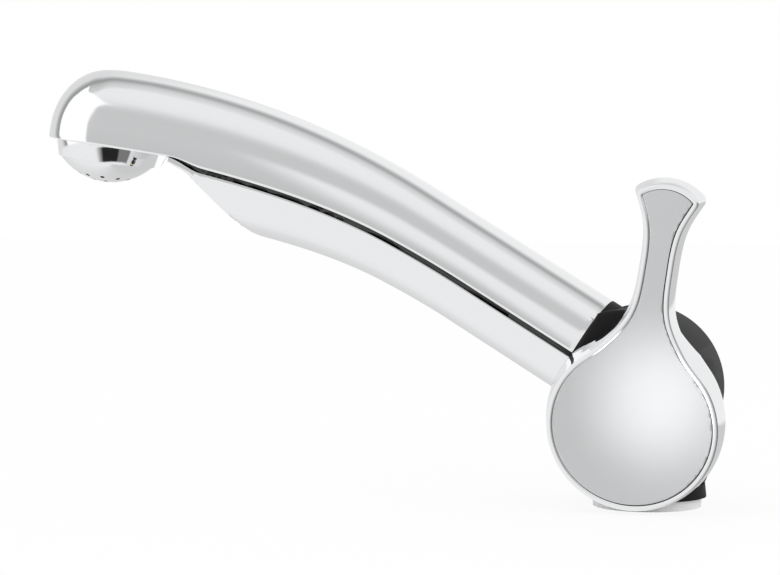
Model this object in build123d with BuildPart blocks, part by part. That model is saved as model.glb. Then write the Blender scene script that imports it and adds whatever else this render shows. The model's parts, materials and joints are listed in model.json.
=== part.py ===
from build123d import *
import os
from math import asin, cos, radians, sin, tan

# Single lever cold water tap with a folding spout, in millimetres.
# The worktop is z = 0, the shank axis is Z, the spout points to -X and the lever faces -Y.

# Worktop fixing
deck_hole = 27.0
shank_clearance = 0.3
gasket_thickness = 2.8
gasket_margin = 1.0
gasket_groove = 0.3
flange_radius = 16.2
flange_height = 3.8
flange_flare = 0.4
shank_below = 50.0
spigot_length = 10.0
thread_pitch = 2.0
thread_depth = 0.9
worktop_thickness = 20.0
nut_across_flats = 36.0
nut_height = 8.0
washer_radius = 21.0
washer_thickness = 2.0
thread_clearance = 0.2
stem_radius = 6.0
stem_length = 25.0
stem_bore = 4.0
stem_chamfer = 0.8
tail_length = 12.0
tail_collar = 3.0
tail_seal_thickness = 1.2
lower_bore = 10.5
seat_gap = 0.03

# Swivel between base and turret
swivel_radius = 10.0
swivel_length = 22.0
pilot_radius = 8.0
swivel_shoulder = 3.0
running_clearance = 0.05
turret_gap = 0.4
o_ring_section = 0.75
groove_gap = 0.04
swivel_ring_pitch = 6.0
clip_thickness = 1.2
clip_depth = 1.0
clip_reach = 1.8
clip_opening = 60.0
clip_play = 0.4

# Turret with two cheeks, and the hollow pivot that the spout folds on
pivot_height = 25.2
turret_width = 36.0
cheek_thickness = 4.0
crown_radius = 23.3
crown_offset = -4.0
crown_lift = 7.3
turret_edge = 1.2
foot_spread = 35.0
cheek_clearance = 0.4
pocket_clearance = 0.5
fold_angle = 28.0
barrel_radius = 14.0
neck_overrun = 2.0
sleeve_radius = 10.0
sleeve_wall = 1.3
sleeve_end_wall = 2.0
sleeve_flange = 12.0
sleeve_flange_thickness = 1.6
ring_nut_radius = 13.0
ring_nut_thickness = 2.0
cap_radius = 15.0
cap_height = 3.6
cap_wall = 1.2
knuckle_ring_spread = 10.0
knuckle_washer_radius = 13.4
knuckle_washer_thickness = 0.3
feed_radius = 4.0
feed_channel = 1.3
outlet_port = 3.0

# Spout, whose crown line is straight from the hub, then a long arc, then a short arc over the head
spout_reach = 162.8
crown_rise = 22.15
hub_slope = 31.49
nose_slope = 8.74
long_arc_radius = 256.0
head_arc_radius = 39.0
hub_distance = 25.3
shell_wall = 2.0
head_half_width = 17.8
hub_half_width = 14.5
head_arch = 22.3
hub_arch = 16.3
head_keel = 15.5
hub_keel = 12.3
widening_start = 0.22
widening_end = 0.84
arch_fullness = 0.58
keel_fullness = 0.64
keel_inset = 0.35
seam_gap = 1.2
gasket_inset = 0.45
gasket_width = 1.3
lip_slope = 8.5
lip_length = 26.5
keel_start = 25.5
keel_gap = 0.12
keel_knee = (33.0, 2.9)
keel_front = 0.616
keel_front_run = 0.12
keel_front_relief = 0.2
keel_end = 0.9
keel_front_radius = 9.0
plug_length = 15.0
plug_clearance = 0.05
tube_radius = 4.0
tube_bore = 3.0
tube_rise = 8.0
tube_socket = 8.0
tube_ring_inset = 4.0
tube_bend_share = 0.9
screw_radius = 1.5
screw_head_radius = 2.8
screw_head_height = 1.1
screw_spacing = 7.0
spout_screw_length = 8.0

# Outlet under the head
ring_radius = 15.5
ring_taper = 1.2
ring_height = 5.0
ring_skirt = 2.0
ring_wall = 0.6
collar_radius = 11.4
collar_wall = 1.5
collar_height = 2.0
chamber_radius = 12.8
chamber_wall = 1.3
chamber_height = 14.6
chamber_shoulder = 6.0
chamber_top = 8.5
inlet_radius = 6.3
inlet_height = 8.3
inlet_start = 12.0
plate_thickness = 2.0
plate_margin = 0.3
plate_length = 28.5
face_sag = 6.1
face_wall = 1.5
face_bore = 10.5
fit_gap = 0.1
spray_hole = 0.65
spray_rows = (6, 10)
spray_pitch = 3.8
screen_thickness = 0.8
screen_ledge = 0.9
screen_hole = 0.7
screen_rows = (6, 12)
screen_pitch = 3.4
head_screw_spread = 10.0
head_screw_place = 17.5
head_screw_length = 8.0
boss_radius = 2.9

# Ceramic cartridge in the front of the pivot sleeve
cartridge_recess = 2.5
cartridge_length = 12.3
cartridge_wall = 1.2
cartridge_front = 3.0
disc_thickness = 2.4
disc_play = 0.05
driver_thickness = 2.0
port_reach = 3.4
port_radius = 1.6
spindle_radius = 3.2
cartridge_nut_bore = 6.6

# Spoon shaped lever
handle_gap = 1.3
handle_depth = 5.7
face_tilt = 9.0
lever_lean = 10.1
disc_drop = 1.0
disc_radius = 23.5
side_draft = 0.22
draft_depth = 18.0
lever_thickness = 4.7
lever_root = 18.8
lever_rise = 6.5
shoulder_height = 14.0
shoulder_points = ((21.0, 11.3), (30.0, 5.8))
neck_height = 43.0
neck_half_width = 4.35
spoon_start = 55.0
spoon_half_width = 5.3
tip_half_width = 8.7
tip_height = 63.2
tip_crown = 3.5
tip_round = 1.5
tip_growth = (1.25, 0.35)
rim_width = 1.4
recess_depth = 1.4
inlay_thickness = 0.9
inlay_gap = 0.06
hub_cavity = 18.5
hub_wall = 1.8
socket_radius = 6.0
socket_depth = 2.2
handle_screw_radius = 1.6
handle_screw_head = 3.4
handle_screw_height = 1.2
handle_screw_sink = 2.1
handle_screw_length = 7.0
handle_screw_seat = 1.3

# Heights and positions that follow from the sizes above
shank_radius = deck_hole / 2 - shank_clearance
flange_top = gasket_thickness + flange_height
turret_bottom = flange_top + turret_gap
spigot_end = flange_top - swivel_length
shoulder_bottom = spigot_end - swivel_shoulder
clip_top = shoulder_bottom - clip_play
clip_bottom = clip_top - clip_thickness
pilot_end = clip_bottom - clip_thickness
half_width = turret_width / 2
crown_centre = pivot_height + crown_lift
cheek_inner = half_width - cheek_thickness
barrel_half = cheek_inner - cheek_clearance
sleeve_bore = sleeve_radius - sleeve_wall
handle_back = -half_width - handle_gap
handle_face = handle_back - handle_depth
cartridge_y = -half_width + cartridge_recess

# Directions along and across the straight hub end of the spout
along = Vector(-cos(radians(hub_slope)), 0, sin(radians(hub_slope)))
across = Vector(sin(radians(hub_slope)), 0, cos(radians(hub_slope)))
pivot = Vector(0, 0, pivot_height)
pivot_front = Plane.XZ.offset(half_width)

# Height of the peak, and lengths of the crown line's three stretches counted from it
nose_turn = radians(nose_slope)
hub_turn = radians(hub_slope)
arc_run = head_arc_radius * sin(nose_turn) + long_arc_radius * (sin(hub_turn) - sin(nose_turn))
arc_fall = head_arc_radius * (1 - cos(nose_turn)) + long_arc_radius * (cos(nose_turn) - cos(hub_turn))
spout_peak = pivot_height + arc_fall + (crown_rise + (spout_reach - arc_run) * sin(hub_turn)) / cos(hub_turn)
lip_place = Vector(-spout_reach, 0, spout_peak - head_arch)
short_arc = head_arc_radius * radians(nose_slope)
long_arc = long_arc_radius * radians(hub_slope - nose_slope)
arc_knee = Vector(
    -spout_reach + head_arc_radius * sin(radians(nose_slope)),
    0,
    spout_peak - head_arc_radius * (1 - cos(radians(nose_slope))),
)


def crown_point(distance):
    """Point and slope of the crown line at a distance from its peak, counted towards the hub."""
    if distance <= short_arc:
        slope = distance / head_arc_radius
        point = Vector(-spout_reach + head_arc_radius * sin(slope), 0,
                       spout_peak - head_arc_radius * (1 - cos(slope)))
        return point, slope
    start = radians(nose_slope)
    slope = min(start + (distance - short_arc) / long_arc_radius, radians(hub_slope))
    point = arc_knee + Vector(
        long_arc_radius * (sin(slope) - sin(start)), 0, -long_arc_radius * (cos(start) - cos(slope)))
    rest = max(distance - short_arc - long_arc, 0)
    return point - along * rest, slope


arc_end = crown_point(short_arc + long_arc)[0]
crown_length = short_arc + long_arc + (arc_end - pivot).dot(along) - hub_distance


def station(fraction):
    """Section plane of the spout, 0 at the hub and 1 at the head, with its width, arch and keel."""
    point, slope = crown_point((1 - fraction) * crown_length)
    plane = Plane(point, x_dir=(0, -1, 0), z_dir=(-cos(slope), 0, sin(slope)))
    step = min(max((fraction - widening_start) / (widening_end - widening_start), 0), 1)
    blend = step * step * (3 - 2 * step)
    width = hub_half_width + (head_half_width - hub_half_width) * blend
    arch = hub_arch + (head_arch - hub_arch) * blend
    keel = hub_keel + (head_keel - hub_keel) * blend
    return plane, width, arch, keel


def arch_half(width, arch, wall):
    """Half of the arched top, from the crown to its widest place."""
    side = width - wall
    rise = arch - wall
    return [(0, -wall), (arch_fullness * side, -wall),
            (side, -arch + arch_fullness * rise), (side, -arch)]


def keel_half(width, arch, keel, wall):
    """Half of the rounded underside, from the widest place to the bottom."""
    side = width - wall
    drop = keel - wall
    return [(side, -arch), (side, -arch - keel_fullness * drop),
            (keel_fullness * side, -arch - drop), (0, -arch - drop)]


def mirrored(points):
    return [(-x, y) for x, y in reversed(points)]


def arch_outline(width, arch, wall, below):
    """Arched top with straight sides that reach below its widest place."""
    side = width - wall
    half = arch_half(width, arch, wall)
    Bezier(*half)
    Polyline((side, -arch), (side, -arch - below), (-side, -arch - below), (-side, -arch))
    Bezier(*mirrored(half))


def keel_outline(width, arch, keel, wall, above):
    """Rounded underside with straight sides that reach above its widest place."""
    side = width - keel_inset - wall
    half = keel_half(width - keel_inset, arch, keel, wall)
    Bezier(*half)
    Bezier(*mirrored(half))
    Polyline((-side, -arch), (-side, -arch + above), (side, -arch + above), (side, -arch))


def closed_outline(width, arch, keel, wall):
    """Arch and underside joined into one closed section."""
    top = arch_half(width, arch, wall)
    bottom = keel_half(width, arch, keel, wall)
    Bezier(*top)
    Bezier(*bottom)
    Bezier(*mirrored(bottom))
    Bezier(*mirrored(top))


def seam_point(fraction, drop=0.0):
    """Point on the joint between the two spout casings, as x and z."""
    plane, _, arch, _ = station(fraction)
    point = plane.origin - plane.y_dir * (arch + drop)
    return (point.X, point.Z)


def underside_point(fraction, drop=0.0):
    """Point under the lower cover, as x and z."""
    plane, _, arch, keel = station(fraction)
    point = plane.origin - plane.y_dir * (arch + keel + drop)
    return (point.X, point.Z)


def from_pivot(out, up, turned=0.0):
    """Point in the pivot's XZ plane, out along the spout and up across it, with the spout folded."""
    folded = (along * out + across * up).rotate(Axis((0, 0, 0), (0, -1, 0)), turned)
    return (folded.X, pivot_height + folded.Z)


def bar_y(radius, start, end, mode=Mode.ADD):
    """Round bar on the pivot axis between two values of y."""
    with BuildSketch(Plane.XZ.offset(-end)) as disc:
        with Locations((0, pivot_height)):
            Circle(radius)
    extrude(disc.sketch, amount=end - start, mode=mode)


def bar_z(radius, bottom, top, mode=Mode.ADD):
    """Round bar on the shank axis between two heights."""
    with BuildSketch(Plane.XY.offset(bottom)) as disc:
        Circle(radius)
    extrude(disc.sketch, amount=top - bottom, mode=mode)


def bar_on(plane, radius, start, end, mode=Mode.ADD):
    """Round bar on the normal of a plane."""
    with BuildSketch(plane.offset(start)) as disc:
        Circle(radius)
    extrude(disc.sketch, amount=end - start, mode=mode)


def ring_on(plane, radius, section, mode=Mode.ADD):
    """Round rubber ring, or the groove for one, about a plane's normal."""
    with BuildSketch(Plane(plane.origin, x_dir=plane.x_dir, z_dir=plane.y_dir * -1)) as profile:
        with Locations((radius, 0)):
            Circle(section)
    revolve(profile.sketch, axis=Axis(plane.origin, plane.z_dir), mode=mode)


# Worktop fixing
thread_start = -spigot_length
neck_radius = shank_radius - gasket_groove
thread_count = int((shank_below - spigot_length) / thread_pitch) - 1
with BuildPart() as base_shank:
    with BuildSketch(Plane.XZ):
        with BuildLine():
            outline = [(swivel_radius, flange_top), (flange_radius, flange_top),
                       (flange_radius + flange_flare, gasket_thickness), (neck_radius, gasket_thickness),
                       (neck_radius, 0), (shank_radius, 0), (shank_radius, thread_start)]
            for turn in range(thread_count):
                top = thread_start - turn * thread_pitch
                outline += [(shank_radius - thread_depth, top - 0.5 * thread_pitch),
                            (shank_radius, top - thread_pitch)]
            outline += [(shank_radius, -shank_below), (lower_bore, -shank_below),
                        (lower_bore, shoulder_bottom), (pilot_radius + running_clearance, shoulder_bottom),
                        (pilot_radius + running_clearance, spigot_end), (swivel_radius, spigot_end)]
            Polyline(*outline, close=True)
        make_face()
    revolve(axis=Axis.Z)

with BuildPart() as deck_gasket:
    bar_z(flange_radius - gasket_margin, 0, gasket_thickness)
    bar_z(shank_radius + fit_gap, 0, gasket_thickness, Mode.SUBTRACT)

washer_top = -worktop_thickness
with BuildPart() as under_washer:
    bar_z(washer_radius, washer_top - washer_thickness, washer_top)
    bar_z(shank_radius + thread_clearance, washer_top - washer_thickness, washer_top, Mode.SUBTRACT)

nut_top = washer_top - washer_thickness
with BuildPart() as fixing_nut:
    with BuildSketch(Plane.XY.offset(nut_top)):
        RegularPolygon(nut_across_flats / 2, 6, major_radius=False)
        Circle(shank_radius + thread_clearance, mode=Mode.SUBTRACT)
    extrude(amount=-nut_height)

tail_seat = -shank_below - tail_seal_thickness
stem_end = tail_seat - tail_collar - stem_length
with BuildPart() as hose_tail:
    bar_z(lower_bore - seat_gap, tail_seat, -shank_below + tail_length)
    bar_z(shank_radius - fit_gap, tail_seat - tail_collar, tail_seat)
    bar_z(stem_radius, stem_end, tail_seat - tail_collar)
    chamfer(edges().filter_by(GeomType.CIRCLE).sort_by(Axis.Z)[0], stem_chamfer)
    bar_z(stem_bore, stem_end, -shank_below + tail_length, Mode.SUBTRACT)

with BuildPart() as hose_tail_seal:
    bar_z(shank_radius - fit_gap, tail_seat, -shank_below)
    bar_z(lower_bore, tail_seat, -shank_below, Mode.SUBTRACT)

# Turret body with its pocket for the spout's neck, and the spigot that turns in the base
swivel_rings = [Plane.XY.offset(spigot_end + step * swivel_ring_pitch + 4 * o_ring_section) for step in (0, 1)]
swivel_ring_radius = swivel_radius - running_clearance - o_ring_section
with BuildPart() as turret_foot:
    with BuildSketch(Plane.XY.offset(turret_bottom)):
        Circle(flange_radius)
    extrude(amount=crown_centre, taper=-foot_spread)
    bar_z(2 * crown_centre, turret_bottom + crown_centre, 2 * (crown_centre + crown_radius))

with BuildPart() as turret_body:
    with BuildSketch(pivot_front):
        with Locations((crown_offset, crown_centre)):
            Circle(crown_radius)
        with Locations((0, turret_bottom)):
            Rectangle(2 * flange_radius, flange_height, align=(Align.CENTER, Align.MIN))
        make_hull()
    extrude(amount=-turret_width)
    for step in (0, 0.5, 1):
        turned = step * fold_angle
        edge = hub_distance - pocket_clearance
        far = 3 * crown_radius
        with BuildSketch(pivot_front):
            with BuildLine():
                Polyline(from_pivot(edge, -far, turned), from_pivot(edge, far, turned),
                         from_pivot(far, far, turned), from_pivot(far, -far, turned), close=True)
            make_face()
        extrude(amount=-turret_width, mode=Mode.SUBTRACT)
    add(turret_foot.part, mode=Mode.INTERSECT)
    by_depth = edges().group_by(Axis.Y)
    fillet(by_depth[0] + by_depth[-1], turret_edge)
    with BuildSketch(Plane.XZ.offset(cheek_inner)):
        with BuildLine():
            bottom = -(hub_arch + hub_keel) + crown_rise - pocket_clearance
            Polyline(from_pivot(-neck_overrun - pocket_clearance, crown_rise + pocket_clearance),
                     from_pivot(2 * hub_distance, crown_rise + pocket_clearance),
                     from_pivot(2 * hub_distance, bottom, fold_angle), from_pivot(0, bottom, fold_angle),
                     from_pivot(-neck_overrun - pocket_clearance, 0), close=True)
        make_face()
        with Locations((0, pivot_height)):
            Circle(barrel_radius + pocket_clearance)
    extrude(amount=-2 * cheek_inner, mode=Mode.SUBTRACT)
    bar_z(swivel_radius - running_clearance, spigot_end + running_clearance, turret_bottom)
    bar_z(pilot_radius, pilot_end, spigot_end + running_clearance)
    bar_z(pilot_radius + clip_depth, clip_bottom, clip_top, Mode.SUBTRACT)
    bar_z(pilot_radius - clip_depth, clip_bottom, clip_top)
    for ring in swivel_rings:
        ring_on(ring, swivel_ring_radius, o_ring_section + groove_gap, Mode.SUBTRACT)
    channel_height = (turret_bottom + pivot_height - barrel_radius - pocket_clearance) / 2
    channel_end = half_width - cheek_thickness / 2
    bar_z(feed_radius, pilot_end, channel_height, Mode.SUBTRACT)
    with BuildSketch(Plane.XZ):
        with Locations((0, channel_height)):
            Circle(feed_channel)
    extrude(amount=-channel_end, mode=Mode.SUBTRACT)
    with BuildSketch(Plane.XY.offset(channel_height)):
        with Locations((0, channel_end)):
            Circle(feed_channel)
    extrude(amount=pivot_height - channel_height, mode=Mode.SUBTRACT)
    bar_y(sleeve_radius + seat_gap, -half_width, half_width, Mode.SUBTRACT)
    bar_y(sleeve_flange + seat_gap, -half_width, -half_width + sleeve_flange_thickness, Mode.SUBTRACT)

with BuildPart() as swivel_o_rings:
    for ring in swivel_rings:
        ring_on(ring, swivel_ring_radius, o_ring_section)

with BuildPart() as swivel_clip:
    with BuildSketch(Plane.XY.offset(clip_bottom + seat_gap)):
        Circle(pilot_radius + clip_reach)
        Circle(pilot_radius - clip_depth + seat_gap, mode=Mode.SUBTRACT)
        with BuildLine():
            reach = 2 * pilot_radius
            half_opening = reach * tan(radians(clip_opening / 2))
            Polyline((0, 0), (reach, half_opening), (reach, -half_opening), close=True)
        make_face(mode=Mode.SUBTRACT)
    extrude(amount=clip_thickness - 2 * seat_gap)

# Hollow pivot with its nut and cap
with BuildPart() as pivot_sleeve:
    bar_y(sleeve_flange, -half_width, -half_width + sleeve_flange_thickness)
    bar_y(sleeve_radius, -half_width, half_width + ring_nut_thickness)
    bar_y(sleeve_bore, -half_width, half_width - sleeve_end_wall / 2, Mode.SUBTRACT)
    with BuildSketch(Plane(pivot, x_dir=(0, 1, 0), z_dir=along)):
        Circle(outlet_port)
    extrude(amount=2 * sleeve_radius, mode=Mode.SUBTRACT)
    with BuildSketch(Plane.XY.offset(pivot_height)):
        with Locations((0, channel_end)):
            Circle(feed_channel)
    extrude(amount=-2 * sleeve_radius, mode=Mode.SUBTRACT)

with BuildPart() as sleeve_nut:
    bar_y(ring_nut_radius, half_width, half_width + ring_nut_thickness)
    bar_y(sleeve_radius + seat_gap, half_width, half_width + ring_nut_thickness, Mode.SUBTRACT)

with BuildPart() as rear_cap:
    bar_y(cap_radius, half_width, half_width + cap_height)
    chamfer(edges().filter_by(GeomType.CIRCLE).sort_by(Axis.Y)[-1], cap_wall)
    bar_y(ring_nut_radius + seat_gap, half_width, half_width + cap_height - cap_wall, Mode.SUBTRACT)

with BuildPart() as knuckle_washers:
    for start in (-cheek_inner, cheek_inner - knuckle_washer_thickness):
        bar_y(knuckle_washer_radius, start, start + knuckle_washer_thickness)
        bar_y(sleeve_radius + fit_gap, start, start + knuckle_washer_thickness, Mode.SUBTRACT)

# Ceramic cartridge
cartridge_radius = sleeve_bore - seat_gap
cartridge_bore = cartridge_radius - cartridge_wall
disc_radius_inside = cartridge_bore - seat_gap
driver_y = cartridge_y + cartridge_front
moving_y = driver_y + driver_thickness
fixed_y = moving_y + disc_thickness + disc_play
seal_y = fixed_y + disc_thickness
cartridge_end = cartridge_y + cartridge_length
spindle_ring = Plane(Vector(0, cartridge_y + cartridge_front / 2, pivot_height), x_dir=(1, 0, 0), z_dir=(0, 1, 0))
spindle_ring_radius = spindle_radius + running_clearance + o_ring_section
with BuildPart() as cartridge_body:
    bar_y(cartridge_radius, cartridge_y, cartridge_end)
    bar_y(cartridge_bore, driver_y, cartridge_end, Mode.SUBTRACT)
    bar_y(spindle_radius + running_clearance, cartridge_y, driver_y, Mode.SUBTRACT)
    ring_on(spindle_ring, spindle_ring_radius, o_ring_section + groove_gap, Mode.SUBTRACT)

with BuildPart() as spindle_o_ring:
    ring_on(spindle_ring, spindle_ring_radius, o_ring_section)

with BuildPart() as cartridge_nut:
    bar_y(cartridge_radius, -half_width, cartridge_y)
    bar_y(cartridge_nut_bore, -half_width, cartridge_y, Mode.SUBTRACT)


def ported_disc(start, end, turned):
    """Round disc on the pivot axis with two ports."""
    bar_y(disc_radius_inside, start, end)
    with BuildSketch(Plane.XZ.offset(-end)) as ports:
        with Locations((0, pivot_height)):
            with PolarLocations(port_reach, 2, start_angle=turned):
                Circle(port_radius)
    extrude(ports.sketch, amount=end - start, mode=Mode.SUBTRACT)


with BuildPart() as moving_disc:
    ported_disc(moving_y, moving_y + disc_thickness, 90)

with BuildPart() as fixed_disc:
    ported_disc(fixed_y, seal_y, 0)

with BuildPart() as cartridge_seal:
    ported_disc(seal_y, cartridge_end, 0)

screw_seat = handle_face + recess_depth + handle_screw_sink
spindle_tip = screw_seat + handle_screw_seat
with BuildPart() as cartridge_spindle:
    bar_y(spindle_radius, spindle_tip, driver_y + driver_thickness / 2)
    bar_y(disc_radius_inside, driver_y + running_clearance, moving_y)
    bar_y(handle_screw_radius + seat_gap, spindle_tip, screw_seat + handle_screw_length, Mode.SUBTRACT)

# Spout knuckle: barrel on the pivot, neck, and the plug that the casings close on
hub_plane, hub_width, hub_top, hub_drop = station(0)
tube_entry = Plane(pivot + across * tube_rise, x_dir=(0, -1, 0), z_dir=along)
knuckle_rings = [
    Plane(Vector(0, side * knuckle_ring_spread, pivot_height), x_dir=(1, 0, 0), z_dir=(0, 1, 0))
    for side in (-1, 1)
]
knuckle_ring_radius = sleeve_radius + running_clearance + o_ring_section
plug_end = hub_distance + plug_length
socket_start = plug_end - tube_socket
spout_screw_planes = [
    Plane(pivot + along * (hub_distance + plug_length / 2 + side * screw_spacing / 2)
          + across * (crown_rise - hub_top - hub_drop), x_dir=(0, -1, 0), z_dir=across)
    for side in (-1, 1)
]
hub_tube_ring = tube_entry.offset(socket_start + tube_ring_inset)
with BuildPart() as spout_knuckle:
    with BuildSketch(hub_plane):
        with BuildLine():
            closed_outline(hub_width, hub_top, hub_drop, 0)
        make_face()
    extrude(amount=-(hub_distance + neck_overrun))
    with BuildSketch(pivot_front.offset(barrel_half - half_width)):
        with Locations((0, pivot_height)):
            Circle(hub_distance + crown_rise)
    extrude(amount=-2 * barrel_half, mode=Mode.INTERSECT)
    bar_y(barrel_radius, -barrel_half, barrel_half)
    with BuildSketch(hub_plane):
        with BuildLine():
            closed_outline(hub_width - keel_inset, hub_top, hub_drop, shell_wall + plug_clearance)
        make_face()
    extrude(amount=plug_length)
    bar_y(sleeve_radius + running_clearance, -barrel_half, barrel_half, Mode.SUBTRACT)
    bar_on(tube_entry, outlet_port, 0, socket_start, Mode.SUBTRACT)
    bar_on(tube_entry, tube_radius + seat_gap, socket_start, plug_end, Mode.SUBTRACT)
    for ring in knuckle_rings:
        ring_on(ring, knuckle_ring_radius, o_ring_section + groove_gap, Mode.SUBTRACT)
    ring_on(hub_tube_ring, tube_radius + o_ring_section, o_ring_section + groove_gap, Mode.SUBTRACT)
    for plane in spout_screw_planes:
        bar_on(plane, screw_radius + seat_gap, 0, spout_screw_length + fit_gap, Mode.SUBTRACT)

with BuildPart() as knuckle_o_rings:
    for ring in knuckle_rings:
        ring_on(ring, knuckle_ring_radius, o_ring_section)

# Spout casings: full sections lofted from hub to head, then cut by the side view of the joint
station_count = 16
stations = [index / station_count for index in range(station_count + 1)]
past_end = -0.03
stations_past = [past_end] + stations[1:]
keel_stations = [fraction for fraction in stations if fraction < keel_end]
keel_stations_past = [past_end] + keel_stations[1:]
side_far = 3 * head_half_width
side_plane = Plane.XZ.offset(side_far)
lip = Plane(lip_place, x_dir=(cos(radians(lip_slope)), 0, -sin(radians(lip_slope))),
            z_dir=(sin(radians(lip_slope)), 0, cos(radians(lip_slope))))


def lip_point(out, up=0.0):
    """Point in the side view of the lip plane, out towards the hub and up, as x and z."""
    point = lip.origin + lip.x_dir * out + lip.z_dir * up
    return (point.X, point.Z)


def loft_arch(fractions, wall, below):
    """Arched body along the spout with a round nose."""
    sections = []
    for fraction in fractions:
        plane, width, arch, _ = station(fraction)
        with BuildSketch(plane) as section:
            with BuildLine():
                arch_outline(width, arch, wall, below)
            make_face()
        sections.append(section.sketch)
    loft(sections, ruled=True)
    plane, width, arch, _ = station(1)
    with BuildSketch(plane) as half:
        with BuildLine():
            Bezier(*arch_half(width, arch, wall))
            Polyline((width - wall, -arch), (width - wall, -arch - below), (0, -arch - below), (0, -wall))
        make_face()
    revolve(half.sketch, axis=Axis(plane.origin, (0, 0, -1)), revolution_arc=180)


def loft_keel(fractions, wall, above):
    """Rounded underside body along the spout."""
    sections = []
    for fraction in fractions:
        plane, width, arch, keel = station(fraction)
        with BuildSketch(plane) as section:
            with BuildLine():
                keel_outline(width, arch, keel, wall, above)
            make_face()
        sections.append(section.sketch)
    loft(sections, ruled=True)


def side_cut(outline, mode=Mode.INTERSECT):
    """Keep or remove what lies inside a side view outline, through the whole width."""
    with BuildSketch(side_plane) as view:
        add(outline)
        make_face()
    extrude(view.sketch, amount=-2 * side_far, mode=mode)


# The seam runs from the hub to the lower cover's front, then follows the lip of the head
seam_stations = (past_end, 0.1, 0.25, 0.4, 0.55, 0.68, 0.74)
seam_tangents = [(along.X, along.Z), (-cos(radians(lip_slope)), sin(radians(lip_slope)))]
seam_start = seam_point(past_end)
gap_start = seam_point(past_end, seam_gap)
lip_start = lip_point(lip_length)
front_top = lip_point(keel_start, -keel_gap)
front_knee = lip_point(keel_knee[0], -keel_knee[1])
with BuildLine() as seam:
    Spline(*[seam_point(fraction) for fraction in seam_stations], lip_start, tangents=seam_tangents)

with BuildLine() as seam_lower_edge:
    Spline(*[seam_point(fraction, seam_gap) for fraction in seam_stations], front_top,
           tangents=seam_tangents)

with BuildLine() as upper_view:
    add(seam.line)
    far_lip = lip_point(-side_far)
    Polyline(lip_start, far_lip, (far_lip[0], 2 * spout_peak), (seam_start[0], 2 * spout_peak), seam_start)


with BuildLine() as lower_view:
    add(seam_lower_edge.line)
    underside = [underside_point(keel_front), underside_point(keel_front - keel_front_run, keel_front_relief),
                 underside_point(0.3, 2 * seam_gap), underside_point(past_end, 2 * seam_gap)]
    FilletPolyline(front_top, front_knee, *underside, radius=keel_front_radius)
    Line(underside[-1], gap_start)

with BuildPart() as arch_outer:
    loft_arch(stations, 0, 3 * seam_gap)

with BuildPart() as arch_inner:
    loft_arch(stations_past, shell_wall, 6 * seam_gap)

head_screw_planes = [
    Plane(lip.origin + lip.x_dir * head_screw_place + Vector(0, side * head_screw_spread, 0),
          x_dir=lip.x_dir, z_dir=lip.z_dir)
    for side in (-1, 1)
]
with BuildPart() as head_bosses:
    for plane in head_screw_planes:
        bar_on(plane, boss_radius, plate_thickness, head_arch)
    add(arch_inner.part, mode=Mode.INTERSECT)

with BuildPart() as upper_shell:
    add(arch_outer.part)
    add(arch_inner.part, mode=Mode.SUBTRACT)
    side_cut(upper_view.line)
    add(head_bosses.part)
    for plane in head_screw_planes:
        bar_on(plane, screw_radius + seat_gap, 0, head_screw_length + fit_gap, Mode.SUBTRACT)

with BuildPart() as keel_inner:
    loft_keel(keel_stations_past, shell_wall, 5 * seam_gap)
    with BuildSketch(side_plane):
        with BuildLine():
            inner_front = [underside_point(keel_front, -shell_wall), underside_point(past_end, side_far)]
            top = (front_knee[0] + 1.4 * shell_wall, front_knee[1])
            Polyline(top, *inner_front, (0, 0), (0, 2 * spout_peak), (top[0], 2 * spout_peak), close=True)
        make_face()
    extrude(amount=-2 * side_far, mode=Mode.INTERSECT)

with BuildPart() as lower_cover:
    loft_keel(keel_stations, 0, 2 * seam_gap)
    side_cut(lower_view.line)
    add(keel_inner.part, mode=Mode.SUBTRACT)
    for plane in spout_screw_planes:
        bar_on(plane, screw_head_radius + fit_gap, -head_keel, screw_head_height, Mode.SUBTRACT)
        bar_on(plane, screw_radius + fit_gap, 0, 2 * shell_wall, Mode.SUBTRACT)

with BuildPart() as gasket_core:
    loft_keel(keel_stations_past, gasket_inset + gasket_width, 3 * seam_gap)

with BuildPart() as seam_gasket:
    loft_keel(keel_stations, gasket_inset, 2 * seam_gap)
    add(gasket_core.part, mode=Mode.SUBTRACT)
    with BuildSketch(side_plane):
        with BuildLine():
            add(seam.line)
            add(seam_lower_edge.line)
            Line(lip_start, front_top)
            Line(gap_start, seam_start)
        make_face()
    extrude(amount=-2 * side_far, mode=Mode.INTERSECT)

with BuildPart() as spout_screws:
    for plane in spout_screw_planes:
        bar_on(plane, screw_head_radius, 0, screw_head_height)
        bar_on(plane, screw_radius, screw_head_height, spout_screw_length)

# Water tube from the knuckle to the outlet chamber
tube_exit = Plane(lip.origin + lip.z_dir * inlet_height, x_dir=(0, 1, 0), z_dir=lip.x_dir)
tube_start = tube_entry.origin + along * socket_start
tube_end = tube_exit.origin + lip.x_dir * inlet_start
span = tube_end - tube_start
turn = along.X * lip.x_dir.Z - along.Z * lip.x_dir.X
tube_corner = tube_start + along * ((span.X * lip.x_dir.Z - span.Z * lip.x_dir.X) / turn)
tube_leg = min((tube_corner - tube_start).length, (tube_end - tube_corner).length)
tube_bend = tube_bend_share * tube_leg / tan(radians(hub_slope - lip_slope) / 2)
head_tube_ring = tube_exit.offset(inlet_start + tube_ring_inset)
with BuildPart() as water_tube:
    with BuildLine():
        FilletPolyline(tube_start, tube_corner, tube_end, radius=tube_bend)
    with BuildSketch(Plane(tube_start, x_dir=(0, -1, 0), z_dir=along)):
        Circle(tube_radius)
        Circle(tube_bore, mode=Mode.SUBTRACT)
    sweep()

with BuildPart() as tube_o_rings:
    for ring in (hub_tube_ring, head_tube_ring):
        ring_on(ring, tube_radius + o_ring_section, o_ring_section)

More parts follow.
